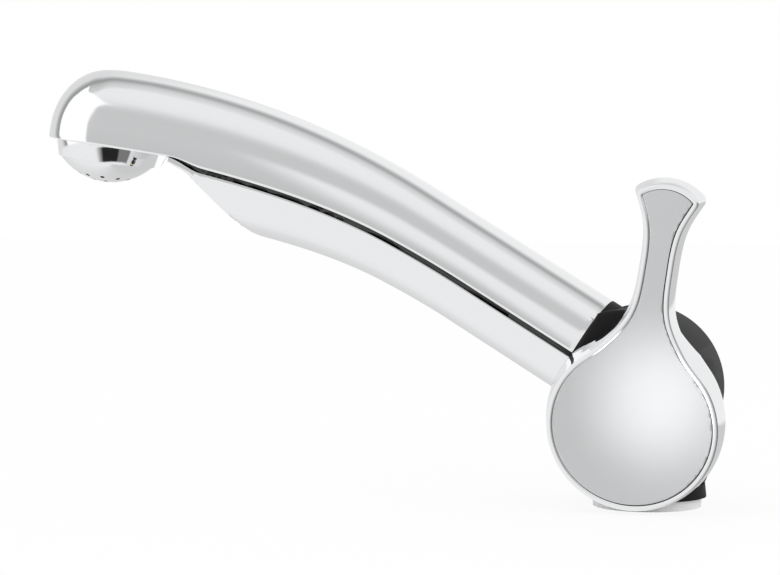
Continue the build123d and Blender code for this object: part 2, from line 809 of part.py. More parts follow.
# Outlet chamber in the head, with the plate that closes the head from below
outlet_profile = Plane(lip.origin, x_dir=lip.x_dir, z_dir=(0, -1, 0))
outlet_axis = Axis(lip.origin, lip.z_dir)
collar_bore = collar_radius - collar_wall
with BuildPart() as head_plate:
    loft_arch(stations[station_count // 2:], shell_wall + plate_margin, 6 * seam_gap)
    with BuildSketch(side_plane):
        with BuildLine():
            Polyline(lip_point(-side_far), lip_point(plate_length), lip_point(plate_length, plate_thickness),
                     lip_point(-side_far, plate_thickness), close=True)
        make_face()
    extrude(amount=-2 * side_far, mode=Mode.INTERSECT)

with BuildPart() as outlet_body:
    add(head_plate.part)
    with BuildSketch(outlet_profile):
        Polygon((0, -collar_height), (collar_radius, -collar_height), (collar_radius, plate_thickness / 2),
                (chamber_radius, plate_thickness / 2), (chamber_radius, chamber_shoulder),
                (chamber_top, chamber_height), (0, chamber_height), align=None)
    revolve(axis=outlet_axis)
    bar_on(tube_exit, inlet_radius, chamber_top / 2, inlet_start + tube_socket)
    with BuildSketch(outlet_profile):
        Polygon((0, -collar_height), (collar_bore, -collar_height),
                (collar_bore, -collar_height + screen_thickness), (collar_bore - screen_ledge, -collar_height
                + screen_thickness), (collar_bore - screen_ledge, plate_thickness),
                (chamber_radius - chamber_wall, plate_thickness), (chamber_radius - chamber_wall,
                chamber_shoulder), (chamber_top - chamber_wall, chamber_height - chamber_wall),
                (0, chamber_height - chamber_wall), align=None)
    revolve(axis=outlet_axis, mode=Mode.SUBTRACT)
    bar_on(tube_exit, outlet_port, chamber_top / 2, inlet_start, Mode.SUBTRACT)
    bar_on(tube_exit, tube_radius + seat_gap, inlet_start, inlet_start + tube_socket, Mode.SUBTRACT)
    ring_on(head_tube_ring, tube_radius + o_ring_section, o_ring_section + groove_gap, Mode.SUBTRACT)
    for plane in head_screw_planes:
        bar_on(plane, screw_head_radius + fit_gap, 0, screw_head_height, Mode.SUBTRACT)
        bar_on(plane, screw_radius + fit_gap, 0, plate_thickness, Mode.SUBTRACT)

with BuildPart() as head_screws:
    for plane in head_screw_planes:
        bar_on(plane, screw_head_radius, 0, screw_head_height)
        bar_on(plane, screw_radius, screw_head_height, head_screw_length)

skirt_top = -ring_height + ring_skirt
face_radius = ring_radius - ring_taper - ring_wall
with BuildPart() as outlet_seal:
    bar_on(lip, collar_radius - fit_gap, skirt_top, -collar_height)
    bar_on(lip, collar_bore + fit_gap, skirt_top, -collar_height, Mode.SUBTRACT)

with BuildPart() as flow_screen:
    bar_on(lip, collar_bore - seat_gap, -collar_height, -collar_height + screen_thickness)
    with BuildSketch(lip.offset(-collar_height)):
        for row, count in enumerate(screen_rows, 1):
            with PolarLocations(row * screen_pitch, count):
                Circle(screen_hole)
        Circle(screen_hole)
    extrude(amount=screen_thickness, mode=Mode.SUBTRACT)

with BuildPart() as outlet_ring:
    with BuildSketch(outlet_profile):
        Polygon((collar_radius + seat_gap, 0), (ring_radius, 0), (ring_radius - ring_taper, -ring_height),
                (face_radius + seat_gap, -ring_height), (face_radius + seat_gap, skirt_top),
                (collar_radius + seat_gap, skirt_top), align=None)
    revolve(axis=outlet_axis)

face_sphere = (face_radius ** 2 + face_sag ** 2) / (2 * face_sag)
face_centre = face_sphere - face_sag - ring_height
with BuildPart() as spray_face:
    with BuildSketch(outlet_profile):
        with BuildLine():
            inner_sphere = face_sphere - face_wall
            inner_rim = face_centre - (inner_sphere ** 2 - face_bore ** 2) ** 0.5
            RadiusArc((face_radius, -ring_height), (0, -ring_height - face_sag), face_sphere)
            Line((0, -ring_height - face_sag), (0, face_centre - inner_sphere))
            RadiusArc((0, face_centre - inner_sphere), (face_bore, inner_rim), -inner_sphere)
            Polyline((face_bore, inner_rim), (face_bore, skirt_top), (face_radius, skirt_top),
                     (face_radius, -ring_height))
        make_face()
    revolve(axis=outlet_axis)
    with BuildSketch(lip.offset(skirt_top)):
        for row, count in enumerate(spray_rows, 1):
            with PolarLocations(row * spray_pitch, count):
                Circle(spray_hole)
        Circle(spray_hole)
    extrude(amount=-2 * (ring_height + face_sag), mode=Mode.SUBTRACT)

# Lever: drafted body cut back behind its disc, with a satin plate let into the face
lean = radians(lever_lean)
tilt = radians(face_tilt)
face = Plane((0, handle_face, pivot_height), x_dir=(cos(lean), sin(lean) * sin(tilt), -sin(lean) * cos(tilt)),
             z_dir=(0, -cos(tilt), -sin(tilt)))


def handle_outline(grow):
    """Outline of the lever's face, larger or smaller all round by a given amount."""
    angle = asin((shoulder_height + disc_drop) / disc_radius)
    edge = [(neck_x, neck_y) for neck_y, neck_x in shoulder_points]
    edge = [(disc_radius * cos(angle), shoulder_height)] + edge
    edge += [(neck_half_width, neck_height), (spoon_half_width, spoon_start), (tip_half_width, tip_height)]
    radius = disc_radius + grow
    side = [(radius * cos(angle), radius * sin(angle) - disc_drop)]
    for before, here, after in zip(edge, edge[1:], edge[2:]):
        step = Vector(after) - Vector(before)
        side.append((here[0] + grow * step.Y / step.length, here[1] - grow * step.X / step.length))
    tip = (tip_half_width + tip_growth[0] * grow, tip_height + tip_growth[1] * grow)
    rise = (-sin(angle), cos(angle))
    flare = (Vector(edge[-1]) - Vector(edge[-2])).normalized()
    left = [(-x, y) for x, y in reversed(side)]
    Spline(*side, tip, tangents=[rise, (flare.X, flare.Y)])
    ThreePointArc(tip, (0, tip_height + tip_crown + grow), (-tip[0], tip[1]))
    Spline((-tip[0], tip[1]), *left, tangents=[(flare.X, -flare.Y), (-sin(angle), -cos(angle))])
    ThreePointArc(left[-1], (0, -radius - disc_drop), side[0])


def lever_back(height):
    """Point behind the lever's arm at a height above the pivot, as y and z."""
    return (handle_face - height * tan(tilt) + lever_thickness / cos(tilt), pivot_height + height)


socket_end = -half_width + socket_depth
with BuildPart() as hub_space:
    bar_y(hub_cavity, handle_face - handle_depth, handle_back)
    with BuildSketch(face.offset(-recess_depth - hub_wall)):
        Rectangle(4 * disc_radius, 4 * disc_radius)
    extrude(amount=-4 * handle_depth, mode=Mode.INTERSECT)

with BuildPart() as handle_body:
    with BuildSketch(face):
        with BuildLine():
            handle_outline(0)
        make_face()
    with BuildSketch(face.offset(-draft_depth)):
        with BuildLine():
            handle_outline(side_draft * draft_depth)
        make_face()
    loft()
    corners = edges().filter_by(
        lambda edge: edge.length > draft_depth and edge.bounding_box().size.Y > draft_depth / 2)
    fillet(corners.sort_by(Axis.Z)[-2:], tip_round)
    with BuildSketch(Plane.YZ.offset(-2 * tip_height)):
        with BuildLine():
            Polyline((handle_back, -tip_height), (handle_back, pivot_height + lever_root),
                     lever_back(lever_root + lever_rise), lever_back(2 * tip_height),
                     (tip_height, pivot_height + 2 * tip_height), (tip_height, -tip_height), close=True)
        make_face()
    extrude(amount=4 * tip_height, mode=Mode.SUBTRACT)
    with BuildSketch(face):
        with BuildLine():
            handle_outline(-rim_width)
        make_face()
    extrude(amount=-recess_depth, mode=Mode.SUBTRACT)
    add(hub_space.part, mode=Mode.SUBTRACT)
    bar_y(socket_radius, screw_seat - fit_gap, socket_end)
    bar_y(handle_screw_head + fit_gap, handle_face, screw_seat, Mode.SUBTRACT)
    bar_y(handle_screw_radius + fit_gap, screw_seat, spindle_tip, Mode.SUBTRACT)
    bar_y(spindle_radius + seat_gap, spindle_tip, socket_end, Mode.SUBTRACT)

with BuildPart() as handle_inlay:
    with BuildSketch(face.offset(-recess_depth)):
        with BuildLine():
            handle_outline(-rim_width - inlay_gap)
        make_face()
    extrude(amount=inlay_thickness)

with BuildPart() as handle_screw:
    bar_y(handle_screw_head, screw_seat - handle_screw_height, screw_seat)
    bar_y(handle_screw_radius, screw_seat, screw_seat + handle_screw_length)

pieces = {
    "base_shank": base_shank,
    "deck_gasket": deck_gasket,
    "under_washer": under_washer,
    "fixing_nut": fixing_nut,
    "hose_tail": hose_tail,
    "hose_tail_seal": hose_tail_seal,
    "turret_body": turret_body,
    "swivel_o_rings": swivel_o_rings,
    "swivel_clip": swivel_clip,
    "pivot_sleeve": pivot_sleeve,
    "sleeve_nut": sleeve_nut,
    "rear_cap": rear_cap,
    "knuckle_washers": knuckle_washers,
    "cartridge_body": cartridge_body,
    "cartridge_nut": cartridge_nut,
    "fixed_disc": fixed_disc,
    "cartridge_seal": cartridge_seal,
    "cartridge_spindle": cartridge_spindle,
    "spindle_o_ring": spindle_o_ring,
    "moving_disc": moving_disc,
    "spout_knuckle": spout_knuckle,
    "knuckle_o_rings": knuckle_o_rings,
    "upper_shell": upper_shell,
    "lower_cover": lower_cover,
    "seam_gasket": seam_gasket,
    "spout_screws": spout_screws,
    "water_tube": water_tube,
    "tube_o_rings": tube_o_rings,
    "outlet_body": outlet_body,
    "head_screws": head_screws,
    "outlet_seal": outlet_seal,
    "flow_screen": flow_screen,
    "outlet_ring": outlet_ring,
    "spray_face": spray_face,
    "handle_body": handle_body,
    "handle_inlay": handle_inlay,
    "handle_screw": handle_screw,
}
os.makedirs("parts", exist_ok=True)
for label, piece in pieces.items():
    piece.part.label = label
    export_step(piece.part, f"parts/{label}.step")
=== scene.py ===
import bpy
import json
from functools import lru_cache
from math import asin, cos, pi, radians, sin
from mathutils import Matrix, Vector


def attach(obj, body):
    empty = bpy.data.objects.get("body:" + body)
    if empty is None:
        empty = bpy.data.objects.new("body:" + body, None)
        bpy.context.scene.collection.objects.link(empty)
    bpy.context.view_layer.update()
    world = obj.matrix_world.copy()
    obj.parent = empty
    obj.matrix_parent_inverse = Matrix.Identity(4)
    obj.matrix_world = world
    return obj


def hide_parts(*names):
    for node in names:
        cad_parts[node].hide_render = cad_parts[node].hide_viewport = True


# Cold water tap with a folding spout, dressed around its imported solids. Lengths are in metres.
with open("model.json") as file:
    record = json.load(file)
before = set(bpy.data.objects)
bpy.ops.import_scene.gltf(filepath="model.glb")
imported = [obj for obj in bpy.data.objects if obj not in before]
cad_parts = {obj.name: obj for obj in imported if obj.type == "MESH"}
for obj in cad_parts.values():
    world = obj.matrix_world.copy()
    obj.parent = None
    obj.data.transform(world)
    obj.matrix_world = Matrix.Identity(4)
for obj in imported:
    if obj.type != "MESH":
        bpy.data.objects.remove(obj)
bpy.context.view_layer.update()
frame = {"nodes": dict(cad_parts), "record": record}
bodyOf = {node: body for body, nodes in frame["record"]["behaviour"]["bodies"].items() for node in nodes}
slotOf = {row["node"]: row["material_slot"] for row in frame["record"]["subparts"]}
mm = 0.001
mergeGap = 0.002 * mm
copySmoothing = 32  # degrees


# Small helpers for selecting, editing and applying
def deselectAll():
    if bpy.context.mode != "OBJECT":
        bpy.ops.object.mode_set(mode="OBJECT")
    bpy.ops.object.select_all(action="DESELECT")


def makeActive(piece):
    deselectAll()
    piece.select_set(True)
    bpy.context.view_layer.objects.active = piece


def editAll(piece):
    makeActive(piece)
    bpy.ops.object.mode_set(mode="EDIT")
    bpy.ops.mesh.select_all(action="SELECT")


def applyModifier(piece, kind, **settings):
    makeActive(piece)
    modifier = piece.modifiers.new(kind.title(), kind)
    for name, value in settings.items():
        setattr(modifier, name, value)
    bpy.ops.object.modifier_apply(modifier=modifier.name)


def settle(piece):  # put the piece's place into its mesh
    makeActive(piece)
    bpy.ops.object.transform_apply(location=True, rotation=True, scale=True)


def turnOut():  # from edit mode, with all faces outward
    bpy.ops.mesh.select_all(action="SELECT")
    bpy.ops.mesh.normals_make_consistent(inside=False)
    bpy.ops.object.mode_set(mode="OBJECT")


def mergeAndTurnOut(piece):
    editAll(piece)
    bpy.ops.mesh.remove_doubles(threshold=mergeGap)
    turnOut()


def bevelEdges(piece, width, segments, degreesWide):
    applyModifier(piece, "BEVEL", width=width, segments=segments, limit_method="ANGLE",
                  angle_limit=radians(degreesWide))


def smoothByAngle(piece, degreesWide):
    makeActive(piece)
    bpy.ops.object.shade_smooth_by_angle(angle=radians(degreesWide))


def joinInto(piece, *others):
    makeActive(piece)
    for other in others:
        other.select_set(True)
    bpy.ops.object.join()
    return piece


def finishPiece(piece, node, material):
    piece.name = node + "_skin"
    piece.data.materials.clear()
    piece.data.materials.append(material)
    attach(piece, bodyOf[node])
    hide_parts(node)
    return piece


# Shader maths: a wrapped socket that builds its nodes from Python expressions
class Wire:
    def __init__(self, tree, socket):
        self.tree = tree
        self.socket = socket

    def node(self, kind, settings=None, **values):
        made = self.tree.nodes.new(kind)
        for name, value in (settings or {}).items():
            setattr(made, name, value)
        for name, value in values.items():
            key = int(name[1:]) if name[0] == "i" and name[1:].isdigit() else name.replace("_", " ")
            self.feed(made.inputs[key], value)
        return made

    def feed(self, target, value):
        if isinstance(value, Wire):
            self.tree.links.new(value.socket, target)
        else:
            target.default_value = value

    def out(self, made, key=0):
        return Wire(self.tree, made.outputs[key])

    def math(self, operation, *values):
        return self.out(self.node("ShaderNodeMath", {"operation": operation},
                                  **{f"i{index}": value for index, value in enumerate(values)}))

    def __add__(self, other):
        return self.math("ADD", self, other)

    def __radd__(self, other):
        return self.math("ADD", other, self)

    def __sub__(self, other):
        return self.math("SUBTRACT", self, other)

    def __rsub__(self, other):
        return self.math("SUBTRACT", other, self)

    def __mul__(self, other):
        return self.math("MULTIPLY", self, other)

    def __rmul__(self, other):
        return self.math("MULTIPLY", other, self)

    def __truediv__(self, other):
        return self.math("DIVIDE", self, other)

    def step(self, start, end):  # 0 before start, 1 after end
        made = self.node("ShaderNodeMapRange", {"interpolation_type": "SMOOTHSTEP"}, Value=self,
                         From_Min=start, From_Max=end)
        return self.out(made, "Result")

    def between(self, start, end, softness):
        return self.step(start - softness, start + softness) * (1 - self.step(end - softness, end + softness))

    def towards(self, level, mask):  # blend to another level where the mask is 1
        return self + mask * (level - self)

    def ramp(self, stops, smooth="EASE"):
        made = self.node("ShaderNodeValToRGB", Fac=self)
        made.color_ramp.interpolation = smooth
        elements = made.color_ramp.elements
        while len(elements) < len(stops):
            elements.new(1.0)
        for element, (place, level) in zip(elements, stops):
            element.position = place
            element.color = (level, level, level, 1)
        return self.out(made)


def newMaterial(name, **settings):
    material = bpy.data.materials.new(name)
    material.use_nodes = True
    tree = material.node_tree
    shader = tree.nodes["Principled BSDF"]
    for key, value in settings.items():
        shader.inputs[key.replace("_", " ")].default_value = value
    wire = Wire(tree, None)
    place = wire.out(wire.node("ShaderNodeTexCoord"), "Object")
    return material, wire, shader, place


def noise(wire, place, scale, detail=2.0):
    return wire.out(wire.node("ShaderNodeTexNoise", Vector=place, Scale=scale, Detail=detail), "Fac")


def bumpFrom(wire, shader, height, strength, distance):
    bump = wire.node("ShaderNodeBump", Height=height, Strength=strength, Distance=distance)
    wire.feed(shader.inputs["Normal"], wire.out(bump, "Normal"))


# Finishes: tones, roughness, and the scale and depth of their grain
chrome = {"tone": (0.9, 0.905, 0.915, 1), "roughness": 0.055, "haze": 0.035, "hazeScale": 55.0,
          "hazeDetail": 3.0}
satin = {
    "metal": 0.9, "dark": (0.7, 0.705, 0.71, 1), "light": (0.73, 0.735, 0.745, 1), "cloudScale": 30.0,
    "roughness": 0.3, "grain": 0.08, "grainScale": 2600.0, "bump": 0.12, "depth": 0.02 * mm,
}
moulded = {"spread": 0.12, "wear": 0.08, "wearScale": 60.0, "wearDetail": 3.0, "grainScale": 3200.0,
           "bump": 0.25, "depth": 0.03 * mm}
machined = {"wear": 0.12, "scale": 900.0, "bump": 0.1, "depth": 0.03 * mm}


def chromeMaterial():
    material, wire, shader, place = newMaterial("polishedChrome", Base_Color=chrome["tone"], Metallic=1.0)
    haze = noise(wire, place, chrome["hazeScale"], chrome["hazeDetail"])
    wire.feed(shader.inputs["Roughness"], chrome["roughness"] + haze * chrome["haze"])
    return material


def mixedTone(wire, shader, share, dark, light):  # base colour between two tones
    tone = wire.node("ShaderNodeMix", {"data_type": "RGBA"}, Factor=share)
    tone.inputs[6].default_value = dark
    tone.inputs[7].default_value = light
    wire.feed(shader.inputs["Base Color"], wire.out(tone, 2))


def satinMaterial():
    material, wire, shader, place = newMaterial("satinPlate", Metallic=satin["metal"])
    grain = noise(wire, place, satin["grainScale"])
    mixedTone(wire, shader, noise(wire, place, satin["cloudScale"]), satin["dark"], satin["light"])
    wire.feed(shader.inputs["Roughness"], satin["roughness"] + grain * satin["grain"])
    bumpFrom(wire, shader, grain, satin["bump"], satin["depth"])
    return material


def mouldedMaterial(name, color, roughness, shine=0.5):
    material, wire, shader, place = newMaterial(name, Specular_IOR_Level=shine)
    grain = noise(wire, place, moulded["grainScale"])
    wear = noise(wire, place, moulded["wearScale"], moulded["wearDetail"])
    mixedTone(wire, shader, wear, (*[level * (1 - moulded["spread"]) for level in color], 1),
              (*[min(level * (1 + moulded["spread"]), 1.0) for level in color], 1))
    wire.feed(shader.inputs["Roughness"], roughness - moulded["wear"] / 2 + wear * moulded["wear"])
    bumpFrom(wire, shader, grain, moulded["bump"], moulded["depth"])
    return material


def metalMaterial(name, color, roughness):
    material, wire, shader, place = newMaterial(name, Metallic=1.0, Base_Color=(*color, 1))
    turned = noise(wire, place, machined["scale"])
    wire.feed(shader.inputs["Roughness"], roughness + turned * machined["wear"])
    bumpFrom(wire, shader, turned, machined["bump"], machined["depth"])
    return material


finishes = {
    "chrome": chromeMaterial(),
    "satin_plate": satinMaterial(),
    "black_plastic": mouldedMaterial("blackPlastic", (0.01, 0.01, 0.011), 0.6, 0.15),
    "pale_gasket": mouldedMaterial("paleGasket", (0.98, 0.98, 0.98), 0.8, 0.2),
    # black rubber, also used as painted shade on the lever's recess floor and the spray holes' walls
    "black_rubber": mouldedMaterial("blackRubberAndPaintedShade", (0.01, 0.01, 0.01), 0.6, 0.3),
    "white_plastic": mouldedMaterial("whitePlastic", (0.75, 0.75, 0.73), 0.4),
    "bare_brass": metalMaterial("bareBrass", (0.78, 0.6, 0.3), 0.25),
    "steel": metalMaterial("plainSteel", (0.6, 0.6, 0.6), 0.25),
    "disc_ceramic": mouldedMaterial("ceramicDisc", (0.8, 0.79, 0.76), 0.2),
}

# Spout casings. The crown line runs straight from the hub, then in a long arc and a short one over the head.
spout = {
    "reach": 162.8 * mm, "crownRise": 22.15 * mm, "hubSlope": radians(31.49), "noseSlope": radians(8.74),
    "longArc": 256.0 * mm, "headArc": 39.0 * mm, "pivotHeight": 25.2 * mm, "hubDistance": 25.3 * mm,
    "headWidth": 17.8 * mm, "hubWidth": 14.5 * mm, "headArch": 22.3 * mm, "hubArch": 16.3 * mm,
    "headKeel": 15.5 * mm, "hubKeel": 12.3 * mm, "widenFrom": 0.22, "widenTo": 0.84,
    "archFullness": 0.58, "keelFullness": 0.64, "keelInset": 0.35 * mm, "wall": 2.0 * mm,
    "seamGap": 1.2 * mm, "seamLeaves": 0.74, "lipSlope": radians(8.5), "lipLength": 26.5 * mm,
    "keelStart": 25.5 * mm, "keelGap": 0.12 * mm, "kneeOut": 33.0 * mm, "kneeDown": 2.9 * mm,
    "keelFront": 0.616, "frontRun": 0.12, "frontRadius": 9.0 * mm,
    "rows": 96, "columns": 48, "noseRows": 40, "rimBevel": 0.28 * mm, "coverWall": 1.0 * mm,
}
along = Vector((-cos(spout["hubSlope"]), 0, sin(spout["hubSlope"])))
pivot = Vector((0, 0, spout["pivotHeight"]))
arcRun = spout["headArc"] * sin(spout["noseSlope"]) + spout["longArc"] * (
    sin(spout["hubSlope"]) - sin(spout["noseSlope"]))
arcFall = spout["headArc"] * (1 - cos(spout["noseSlope"])) + spout["longArc"] * (
    cos(spout["noseSlope"]) - cos(spout["hubSlope"]))
peakHeight = spout["pivotHeight"] + arcFall + (
    spout["crownRise"] + (spout["reach"] - arcRun) * sin(spout["hubSlope"])) / cos(spout["hubSlope"])
lipOrigin = Vector((-spout["reach"], 0, peakHeight - spout["headArch"]))
lipOut = Vector((cos(spout["lipSlope"]), 0, -sin(spout["lipSlope"])))
lipUp = Vector((sin(spout["lipSlope"]), 0, cos(spout["lipSlope"])))
shortLength = spout["headArc"] * spout["noseSlope"]
longLength = spout["longArc"] * (spout["hubSlope"] - spout["noseSlope"])


def crownPoint(distance):  # point and slope at a distance from the peak, counted towards the hub
    nose = spout["noseSlope"]
    bend = min(distance, shortLength) / spout["headArc"]
    point = Vector((-spout["reach"] + spout["headArc"] * sin(bend), 0,
                    peakHeight - spout["headArc"] * (1 - cos(bend))))
    if distance <= shortLength:
        return point, bend
    slope = min(nose + (distance - shortLength) / spout["longArc"], spout["hubSlope"])
    point += spout["longArc"] * Vector((sin(slope) - sin(nose), 0, cos(slope) - cos(nose)))
    return point - along * max(distance - shortLength - longLength, 0), slope


frontTop = lipOrigin + lipOut * spout["keelStart"] - lipUp * spout["keelGap"]
crownLength = shortLength + longLength + (
    (crownPoint(shortLength + longLength)[0] - pivot).dot(along) - spout["hubDistance"])


@lru_cache(None)
def station(fraction):  # a section's crown point, way down, width, arch and keel, from 0 at the hub to 1
    point, slope = crownPoint((1 - fraction) * crownLength)
    step = min(max((fraction - spout["widenFrom"]) / (spout["widenTo"] - spout["widenFrom"]), 0), 1)
    blend = step * step * (3 - 2 * step)
    mixed = [spout["hub" + size] + (spout["head" + size] - spout["hub" + size]) * blend
             for size in ("Width", "Arch", "Keel")]
    return point, Vector((-sin(slope), 0, -cos(slope))), *mixed


def cubic(points, t):  # Bezier curve of four points
    a, b, c, d = points
    s = 1 - t
    return a * s ** 3 + b * 3 * s * s * t + c * 3 * s * t * t + d * t ** 3


def lastHolding(holds, low, high, rounds):  # how far from low to high a test holds
    for _ in range(rounds):
        middle = (low + high) / 2
        if holds(middle):
            low = middle
        else:
            high = middle
    return low


def forwardOf(down):  # along the crown, towards the head
    return Vector((down.z, 0, -down.x))


def seamEdge(share, drop):  # joint between the casings where it leaves the stations and runs into the lip
    start = sidePoint(spout["seamLeaves"], drop)
    before = sidePoint(spout["seamLeaves"] - 0.01, drop)
    end = frontTop if drop else lipOrigin + lipOut * spout["lipLength"]
    reach = (end - start).length / 3
    return cubic((start, start + (start - before).normalized() * reach, end + lipOut * reach, end), share)


def sidePoint(fraction, drop):
    point, down, _, arch, _ = station(fraction)
    return point + down * (arch + drop)


@lru_cache(None)
def edgeHeight(fraction, drop):  # how far the casing's edge lies above the section's widest level
    point, down, _, arch, _ = station(fraction)
    if fraction <= spout["seamLeaves"]:
        return -drop
    forward = forwardOf(down)
    if (seamEdge(1.0, drop) - point).dot(forward) > 0:
        share = lastHolding(lambda part: (seamEdge(part, drop) - point).dot(forward) <= 0, 0.0, 1.0, 40)
        return arch - (seamEdge(share, drop) - point).dot(down)
    base = frontTop if drop else lipOrigin
    return arch - (base - point).dot(lipUp) / down.dot(lipUp)


def trimmedLine(controls, straight, keep):  # a profile cut by keep(), with the lengths of its steps
    line = [cubic(controls, index / 60) for index in range(61)]
    line.append(line[-1] + straight)
    kept = [line[0]]
    for before, after in zip(line, line[1:]):
        if keep(after) < 0:
            part = keep(before) / (keep(before) - keep(after))
            kept.append(before.lerp(after, part))
            break
        kept.append(after)
    return kept, [(after - before).length for before, after in zip(kept, kept[1:])]


def pointAlong(trimmed, share):
    kept, lengths = trimmed
    target = share * sum(lengths)
    for index, length in enumerate(lengths):
        if target <= length or index == len(lengths) - 1:
            return kept[index].lerp(kept[index + 1], min(target / max(length, 1e-9), 1))
        target -= length


def flatVectors(*pairs):
    return [Vector(pair) for pair in pairs]


@lru_cache(None)
def archLine(width, arch, height):  # across and down from the crown, cut at a height above the widest level
    full = spout["archFullness"]
    controls = flatVectors((0, 0), (full * width, 0), (width, arch * (1 - full)), (width, arch))
    return trimmedLine(controls, Vector((0, 6 * mm)), lambda spot: (arch - height) - spot.y)


@lru_cache(None)
def noseLine(turn):  # the same at a turn about the outlet's axis, cut by the lip
    _, _, width, arch, _ = station(1)
    full = spout["archFullness"]
    fall = sin(spout["lipSlope"]) / cos(spout["lipSlope"]) * cos(turn)
    controls = flatVectors((0, 0), (full * width, 0), (width, arch * (1 - full)), (width, arch))
    return trimmedLine(controls, Vector((0, 6 * mm)), lambda spot: (arch - fall * spot.x) - spot.y)


@lru_cache(None)
def keelLine(width, arch, keel, height):  # from the bottom up to the edge
    side = width - spout["keelInset"]
    full = spout["keelFullness"]
    bottom = arch + keel
    controls = flatVectors((0, bottom), (full * side, bottom), (side, arch + full * keel), (side, arch))
    return trimmedLine(controls, Vector((0, -6 * mm)), lambda spot: spot.y - (arch - height))


def gridSheet(name, rows, columns, place):  # a grid whose points are put in place by row and column share
    deselectAll()
    bpy.ops.mesh.primitive_grid_add(x_subdivisions=rows, y_subdivisions=columns, size=1)
    sheet = bpy.context.active_object
    sheet.name = name
    for vertex in sheet.data.vertices:
        vertex.co = place(vertex.co.x + 0.5, vertex.co.y + 0.5)
    return sheet


def archPlace(rowShare, columnShare):
    point, down, width, arch, _ = station(rowShare)
    side = 1 if columnShare >= 0.5 else -1
    spot = pointAlong(archLine(width, arch, edgeHeight(rowShare, 0)), abs(2 * columnShare - 1))
    return point + down * spot.y + Vector((0, side * spot.x, 0))


def nosePlace(rowShare, columnShare):
    turn = pi * (rowShare - 0.5)
    spot = pointAlong(noseLine(turn), columnShare)
    return station(1)[0] + Vector((-spot.x * cos(turn), spot.x * sin(turn), -spot.y))


def undersidePoint(fraction, drop=0.0):
    point, down, _, arch, keel = station(fraction)
    return point + down * (arch + keel + drop)


def roundedLine(corners, radius, steps):  # polyline in the side view with its inner corners rounded
    line = [corners[0]]
    for before, corner, after in zip(corners, corners[1:], corners[2:]):
        back = (before - corner).normalized()
        onward = (after - corner).normalized()
        half = back.angle(onward) / 2
        reach = radius * cos(half) / sin(half)
        centre = corner + (back + onward).normalized() * (radius / sin(half))
        start, end = corner + back * reach - centre, corner + onward * reach - centre
        for step in range(steps + 1):
            line.append(centre + start.lerp(end, step / steps).normalized() * radius)
    return line + [corners[-1]]


frontLine = roundedLine(
    [frontTop, lipOrigin + lipOut * spout["kneeOut"] - lipUp * spout["kneeDown"],
     undersidePoint(spout["keelFront"]), undersidePoint(spout["keelFront"] - spout["frontRun"], 0.2 * mm)],
    spout["frontRadius"], 8)


def frontCut(point, down):  # depth below the crown at which the slanted front crosses a section
    forward = forwardOf(down)
    for start, end in zip(frontLine, frontLine[1:]):
        low, high = (start - point).dot(forward), (end - point).dot(forward)
        if low >= 0 > high:
            return (start.lerp(end, low / (low - high)) - point).dot(down)
    return None


def beforeFront(fraction):
    point, down = station(fraction)[:2]
    return (frontTop - point).dot(forwardOf(down)) > 0


coverLength = lastHolding(beforeFront, spout["keelFront"], 1.0, 40)  # its section meets the front's top


@lru_cache(None)
def creaseShare(fraction):  # how far up the profile the slanted front cuts the section, and at what depth
    point, down, width, arch, keel = station(fraction)
    cut = frontCut(point, down)
    if cut is None or cut >= arch + keel:
        return 0.0, arch + keel
    line = keelLine(width, arch, keel, edgeHeight(fraction, spout["seamGap"]))
    return lastHolding(lambda share: pointAlong(line, share).y > cut, 0.0, 1.0, 24), cut


def keelPlace(rowShare, columnShare):
    fraction = rowShare * coverLength
    point, down, width, arch, keel = station(fraction)
    line = keelLine(width, arch, keel, edgeHeight(fraction, spout["seamGap"]))
    side = 1 if columnShare >= 0.5 else -1
    share = abs(2 * columnShare - 1)
    reach, cut = creaseShare(fraction)
    if reach > 0:
        half = spout["columns"] // 2
        crease = min(max(round(reach * half), 1), half - 1) / half
        share = share / crease * reach if share <= crease else 1 - (1 - share) / (1 - crease) * (1 - reach)
    spot = pointAlong(line, share)
    return point + down * min(spot.y, cut) + Vector((0, side * spot.x, 0))


def wallAndRim(shell, wall, bevel):
    applyModifier(shell, "SOLIDIFY", thickness=wall, offset=-1.0, use_even_offset=True)
    bevelEdges(shell, bevel, 3, 55)
    smoothByAngle(shell, 50)


def makeUpperShell():
    body = gridSheet("shellBody", spout["rows"], spout["columns"], archPlace)
    nose = gridSheet("shellNose", spout["noseRows"], spout["columns"] // 2, nosePlace)
    shell = joinInto(body, nose)
    mergeAndTurnOut(shell)
    wallAndRim(shell, spout["wall"], spout["rimBevel"])
    return finishPiece(shell, "upper_shell", finishes["chrome"])


def makeLowerCover():
    cover = gridSheet("coverBody", spout["rows"] * 2, spout["columns"], keelPlace)
    mergeAndTurnOut(cover)
    wallAndRim(cover, spout["coverWall"], spout["rimBevel"] * 0.6)
    return finishPiece(cover, "lower_cover", finishes["chrome"])


def softCopy(node):  # the solid's own mesh, merged and smoothed
    deselectAll()
    piece = bpy.data.objects.new(node + "_skin", frame["nodes"][node].data.copy())
    bpy.context.scene.collection.objects.link(piece)
    editAll(piece)
    bpy.ops.mesh.remove_doubles(threshold=mergeGap)
    bpy.ops.object.mode_set(mode="OBJECT")
    smoothByAngle(piece, copySmoothing)
    return finishPiece(piece, node, finishes[slotOf[node]])


